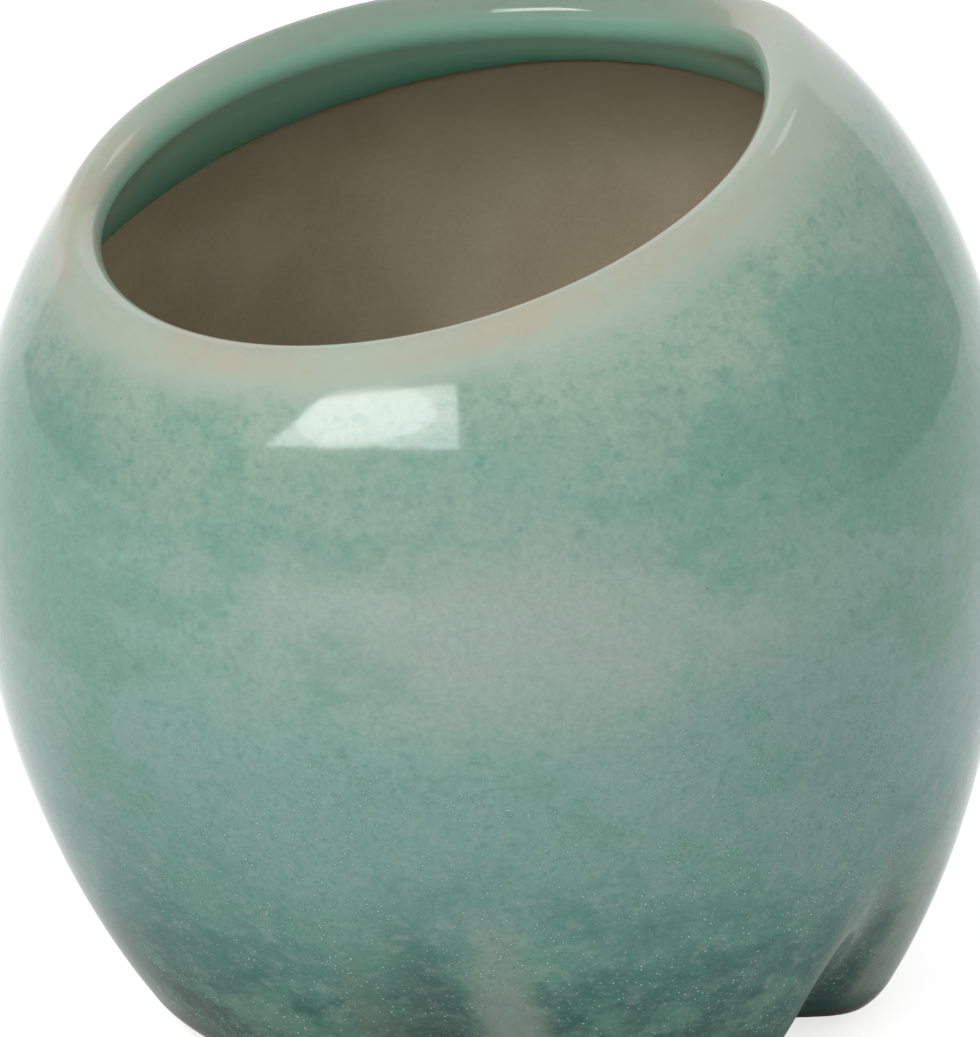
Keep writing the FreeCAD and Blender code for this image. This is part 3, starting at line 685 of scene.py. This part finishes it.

    # thin over the lip, darker on its back half with painted shade, dark again in the band inside it, toasted at its
    # very end
    thinness = add(calc, {0: curd, 1: 0.25, 2: clouds}, operation="MULTIPLY_ADD")
    thinness = add(remap, {"Value": thinness, "From Min": 0.52, "From Max": 0.76, "To Max": 0.85}, **eased)
    onTop = add(remap, {"Value": mark["overLip"], "From Min": 0.82, "From Max": 1.0}, **eased)
    thinness = add(calc, {0: thinness, 1: onTop}, operation="MULTIPLY")
    lipTone = add(mix, {"Factor": thinness, 6: linear(look["lip"]), 7: linear(look["lipThin"])}, **rgba)
    # painted shade: the lip darker on its back half, away from the front
    thick = add(remap, {"Value": front, "From Min": -0.005, "From Max": -0.045, "To Max": 0.9}, **eased)
    lipTone = add(mix, {"Factor": thick, 6: lipTone, 7: linear(look["lipBackShade"])}, **rgba)
    lipEdge = add(calc, {0: patchOff, 1: 0.6, 2: mark["overLip"]}, operation="MULTIPLY_ADD")
    lipMask = add(remap, {"Value": lipEdge, "From Min": 0.05, "From Max": 1.05, "To Max": 0.9}, **eased)
    colour = add(mix, {"Factor": lipMask, 6: colour, 7: lipTone}, **rgba)
    bandEdge = add(calc, {0: patchOff, 1: 0.12, 2: mark["inBand"]}, operation="MULTIPLY_ADD")
    bandMask = add(remap, {"Value": bandEdge, "From Min": 0.03, "From Max": 0.26}, **eased)
    colour = add(mix, {"Factor": bandMask, 6: colour, 7: bandTone}, **rgba)
    # towards the foot: darker with pooled glaze and painted shade, then dark brown at the very bottom, painted shade
    footLevel = add("ShaderNodeSeparateXYZ", {0: place}, out=2)
    for tint, (high, low, most) in look["atFoot"].items():
        mask = add(remap, {"Value": footLevel, "From Min": high, "From Max": low, "To Max": most}, **eased)
        colour = add(mix, {"Factor": mask, 6: colour, 7: linear(look[tint])}, **rgba)
    tree.links.new(colour, shader["Base Color"])

    # the fired surface is a little uneven, so reflections have soft wavy edges
    peel = add(noiseMap, {"Vector": place, "Scale": 1 / look["peel"], "Detail": 2.0, "Roughness": 0.5})
    bump = add("ShaderNodeBump", {"Strength": 0.25, "Distance": look["peelDepth"], "Height": peel})
    tree.links.new(bump, shader["Normal"])
    return material


# bare stoneware, slip cast and fired unglazed: dry grey-brown, faintly clouded and gritty; painted shade darkens
# the top of the inside under the inward-leaning shoulder, and darkens the bare foot to brown
clayLook = {
    "roughness": 0.86,
    "ior": 1.5,
    "clouds": 0.026,      # metres
    "grit": 0.0009,
    # metres up: painted shade towards the mouth inside, then painted shade at the foot
    "topShadeLevels": (0.098, 0.130),
    "footShadeLevels": (0.0085, 0.0035),
    "pale": "#C4B9A2",
    "dark": "#B3A78F",
    "topShade": "#988C75",
    "footShade": "#5C4630",
}


def bareStoneware(look):
    material, tree, shader = newMaterial("stonewareBareFired", look)
    add = partial(addNode, tree)
    place = add("ShaderNodeTexCoord", out="Object")
    clouds = add(noiseMap, {"Vector": place, "Scale": 1 / look["clouds"], "Detail": 5.0, "Roughness": 0.55})
    grit = add(noiseMap, {"Vector": place, "Scale": 1 / look["grit"], "Detail": 3.0, "Roughness": 0.7})
    cloudMask = add(remap, {"Value": clouds, "From Min": 0.35, "From Max": 0.65}, **eased)
    colour = add(mix, {"Factor": cloudMask, 6: linear(look["dark"]), 7: linear(look["pale"])}, **rgba)
    gritTone = add(remap, {"Value": grit, "From Min": 0.3, "From Max": 0.7, "To Min": 0.4, "To Max": 0.6})
    grey = add("ShaderNodeCombineColor", {0: gritTone, 1: gritTone, 2: gritTone})
    colour = add(mix, {"Factor": 0.5, 6: colour, 7: grey}, **rgba, blend_type="SOFT_LIGHT")
    level = add("ShaderNodeSeparateXYZ", {0: place}, out=2)
    # painted shade: darker towards the mouth inside, under the shoulder
    low, high = look["topShadeLevels"]
    topShadeMask = add(remap, {"Value": level, "From Min": low, "From Max": high, "To Max": 0.9}, **eased)
    colour = add(mix, {"Factor": topShadeMask, 6: colour, 7: linear(look["topShade"])}, **rgba)
    # painted shade: dark brown on the bare clay at the foot
    high, low = look["footShadeLevels"]
    footMask = add(remap, {"Value": level, "From Min": high, "From Max": low, "To Max": 0.85}, **eased)
    colour = add(mix, {"Factor": footMask, 6: colour, 7: linear(look["footShade"])}, **rgba)
    tree.links.new(colour, shader["Base Color"])
    bump = add("ShaderNodeBump", {"Strength": 0.3, "Distance": 0.0001, "Height": grit})
    tree.links.new(bump, shader["Normal"])
    return material


# rubber for the bung and the pads: dark, satin to matte, with a fine moulded or cellular grain
rubberLooks = {
    "bungRubberMoulded": {"tone": "#1B1B1B", "dust": "#2C2B29", "roughness": 0.55, "ior": 1.52, "clouds": 0.005,
                          "grain": 0.0006, "depth": 0.00004},
    "padRubberFoam": {"tone": "#2E2C2A", "dust": "#45423E", "roughness": 0.9, "ior": 1.52, "clouds": 0.005,
                      "grain": 0.0004, "depth": 0.00008},
}


def darkRubber(name):
    look = rubberLooks[name]
    material, tree, shader = newMaterial(name, look)
    add = partial(addNode, tree)
    place = add("ShaderNodeTexCoord", out="Object")
    dust = add(noiseMap, {"Vector": place, "Scale": 1 / look["clouds"], "Detail": 5.0, "Roughness": 0.6})
    grain = add(noiseMap, {"Vector": place, "Scale": 1 / look["grain"], "Detail": 2.0})
    dustMask = add(remap, {"Value": dust, "From Min": 0.4, "From Max": 0.75}, **eased)
    colour = add(mix, {"Factor": dustMask, 6: linear(look["tone"]), 7: linear(look["dust"])}, **rgba)
    tree.links.new(colour, shader["Base Color"])
    bump = add("ShaderNodeBump", {"Strength": 0.4, "Distance": look["depth"], "Height": grain})
    tree.links.new(bump, shader["Normal"])
    return material


glazeMaterial = celadonGlaze(glazeLook)
clayMaterial = bareStoneware(clayLook)
glazeSweep = {
    "Turns": 320,
    "Waviness": 0.0003,
    "Line Wander": 0.0016,
    "Line Tilt": potForm["lineTilt"],
    "Line Wave": potForm["lineWave"],
    "Glaze or Clay": glazeMaterial,
}
glaze = sweepPiece("pot_glaze", glazeRows(potForm), glazeSweep)
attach(glaze, "pot")
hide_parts("celadon_glaze")
clay = sweepPiece("pot_clay", clayRows(potForm), {"Turns": 300, "Glaze or Clay": clayMaterial})
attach(clay, "pot")
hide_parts("stoneware_body")
print("pot swept", len(glaze.data.polygons), len(clay.data.polygons))

# the bung and the pads keep their CAD shapes and get their rubber
bungRubber, padRubber = darkRubber("bungRubberMoulded"), darkRubber("padRubberFoam")
for name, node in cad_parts.items():
    if name == "drain_bung" or name.startswith("foot_pad"):
        node.data.materials.clear()
        node.data.materials.append(bungRubber if name == "drain_bung" else padRubber)
print("rubber on the bung and pads")

# white studio: a paper backdrop behind the pot, a pale floor, a softbox in front, a lamp above it, one behind
studio = {
    "fill": 0.06,            # light from all round
    "fills": ((0.5, -42, 46), (1.2, 125, 0)),   # and more from above on the left, and from the right
    "dim": 0.2,              # what the glaze mirrors from the dark side of the room
    "backdropTurn": 47.5,    # the backdrop is across from here
    "backdropEdge": 0.72,    # cosine of its half width
    "edgeSoft": 0.03,
    "besides": 0.5,          # and the room brightens towards it
    "besidesFrom": -0.2,
    "target": (0.041, -0.055, 0.107),
    "panel": ((-0.518, -0.121), (-0.317, 0.046), (0.161, 0.145), (0.239, -0.070)),
    "panelGlow": 6.4,
    "panelDistance": 0.9,
    "panelAzimuth": 23.6,
    "panelElevation": 28.8,
    "lamps": {
        "softboxCore": {"azimuth": 23.6, "elevation": 28.8, "distance": 0.89, "shift": (-0.135, 0.008), "roll": 8,
                        "size": (0.51, 0.18), "power": 0.8, "shape": "ELLIPSE"},
        "sideCloth": {"azimuth": 1, "elevation": 48, "distance": 1.2, "shift": (0, 0), "roll": 0,
                      "size": (0.24, 0.24), "power": 4.3, "shape": "RECTANGLE", "mirrored": False},
        "backLamp": {"azimuth": 185, "elevation": 48, "distance": 1.2, "shift": (0, 0), "roll": 0,
                     "size": (0.3, 0.2), "power": 0.3, "shape": "RECTANGLE"},
    },
    "floorTone": "#D8D8D6",
    "floorShown": 0.72,
    "floorMirrored": 0.7,
    "floorNear": (-0.4, 0.1),   # where the mirrored floor brightens, the second past the backdrop's edge
    "floorHalf": 3,
    "floorLevel": -0.0001,
}


def lookBack(azimuth, elevation):
    towards = directionTo(azimuth, elevation)
    side = directionTo(azimuth + 90, 0)
    return side, towards.cross(side), towards


def lightStudio(setup):
    world = bpy.data.worlds.new("studio")
    scene.world = world
    world.use_nodes = True
    tree = world.node_tree
    tree.nodes.clear()
    add = partial(addNode, tree)
    ray = add("ShaderNodeLightPath").node.outputs
    away = directionTo(setup["backdropTurn"], 0) * -1
    sight = add("ShaderNodeTexCoord", out="Generated")
    facing = add(vectorMath, {0: sight, 1: away}, **dot)
    edge = setup["backdropEdge"]
    backdrop = add(remap, {"Value": facing, "From Min": edge, "From Max": edge + setup["edgeSoft"],
                           "To Min": setup["dim"]}, **eased)
    beside = add(remap, {"Value": facing, "From Min": setup["besidesFrom"], "From Max": edge,
                         "To Max": setup["besides"]})
    backdrop = add(calc, {0: backdrop, 1: beside}, operation="MAXIMUM")
    mirrored = add(calc, {0: ray["Is Glossy Ray"], 1: ray["Is Transmission Ray"]}, operation="MAXIMUM")
    fill = setup["fill"]
    for strength, azimuth, elevation in setup["fills"]:
        share = add(vectorMath, {0: sight, 1: directionTo(azimuth, elevation)}, **dot)
        share = add(calc, {0: share, 1: 0.0}, operation="MAXIMUM")
        fill = add(calc, {0: share, 1: strength, 2: fill}, operation="MULTIPLY_ADD")
    level = add(mix, {"Factor": mirrored, 2: fill, 3: backdrop}, data_type="FLOAT")
    level = add(mix, {"Factor": ray["Is Camera Ray"], 2: level, 3: 1.0}, data_type="FLOAT")
    glow = add("ShaderNodeBackground", {"Color": (1, 1, 1, 1), "Strength": level})
    add("ShaderNodeOutputWorld", {"Surface": glow})

    # the softbox's cloth, with its lamp shining through the middle, and the other lamps
    target = Vector(setup["target"])
    side, rise, towards = lookBack(setup["panelAzimuth"], setup["panelElevation"])
    mesh = bpy.data.meshes.new("softboxCloth")
    corners = [target + towards * setup["panelDistance"] + side * x + rise * y for x, y in setup["panel"]]
    mesh.from_pydata(corners, [], [(0, 1, 2, 3)])
    cloth = addObject("softboxCloth", mesh)
    material = bpy.data.materials.new("softboxCloth")
    material.use_nodes = True
    tree = material.node_tree
    tree.nodes.clear()
    add = partial(addNode, tree)
    glow = add("ShaderNodeEmission", {"Color": (1, 1, 1, 1), "Strength": setup["panelGlow"]})
    add("ShaderNodeOutputMaterial", {"Surface": glow})
    mesh.materials.append(material)
    for name, lamp in setup["lamps"].items():
        data = bpy.data.lights.new(name, "AREA")
        data.shape = lamp["shape"]
        data.size, data.size_y = lamp["size"]
        data.energy = lamp["power"]
        side, rise, towards = lookBack(lamp["azimuth"], lamp["elevation"])
        roll = Matrix.Rotation(math.radians(lamp["roll"]), 4, "Z")
        turn = Matrix((side, rise, towards)).transposed().to_4x4() @ roll
        spot = target + towards * lamp["distance"] + side * lamp["shift"][0] + rise * lamp["shift"][1]
        light = addObject(name, data)
        light.matrix_world = Matrix.Translation(spot) @ turn
        light.visible_glossy = lamp.get("mirrored", True)

    # pale floor that keeps a soft shadow; from below it is clear, so that the foot can be looked at
    mesh = bpy.data.meshes.new("floor")
    half, low = setup["floorHalf"], setup["floorLevel"]
    mesh.from_pydata([(-half, -half, low), (half, -half, low), (half, half, low), (-half, half, low)], [],
                     [(0, 1, 2, 3)])
    floor = addObject("floor", mesh)
    material = bpy.data.materials.new("floorPaper")
    material.use_nodes = True
    tree = material.node_tree
    tree.nodes.clear()
    add = partial(addNode, tree)
    ray = add("ShaderNodeLightPath").node.outputs
    matte = add("ShaderNodeBsdfDiffuse", {"Color": linear(setup["floorTone"])})
    spread = add(vectorMath, {0: add("ShaderNodeTexCoord", out="Object")}, operation="NORMALIZE")
    behind = add(vectorMath, {0: spread, 1: away}, **dot)
    start, past = setup["floorNear"]
    near = add(remap, {"Value": behind, "From Min": start, "From Max": edge + past, "To Max": setup["floorMirrored"]})
    shown = add(calc, {0: ray["Is Glossy Ray"], 1: near}, operation="MULTIPLY")
    shown = add(calc, {0: ray["Is Camera Ray"], 1: setup["floorShown"], 2: shown}, operation="MULTIPLY_ADD")
    paper = add("ShaderNodeEmission", {"Color": (1, 1, 1, 1), "Strength": shown})
    seen = add("ShaderNodeAddShader", {0: matte, 1: paper})
    fromBelow = add("ShaderNodeNewGeometry", out="Backfacing")
    surface = add("ShaderNodeMixShader", {0: fromBelow, 1: seen, 2: add("ShaderNodeBsdfTransparent")})
    add("ShaderNodeOutputMaterial", {"Surface": surface})
    mesh.materials.append(material)


lightStudio(studio)
print("studio lit")
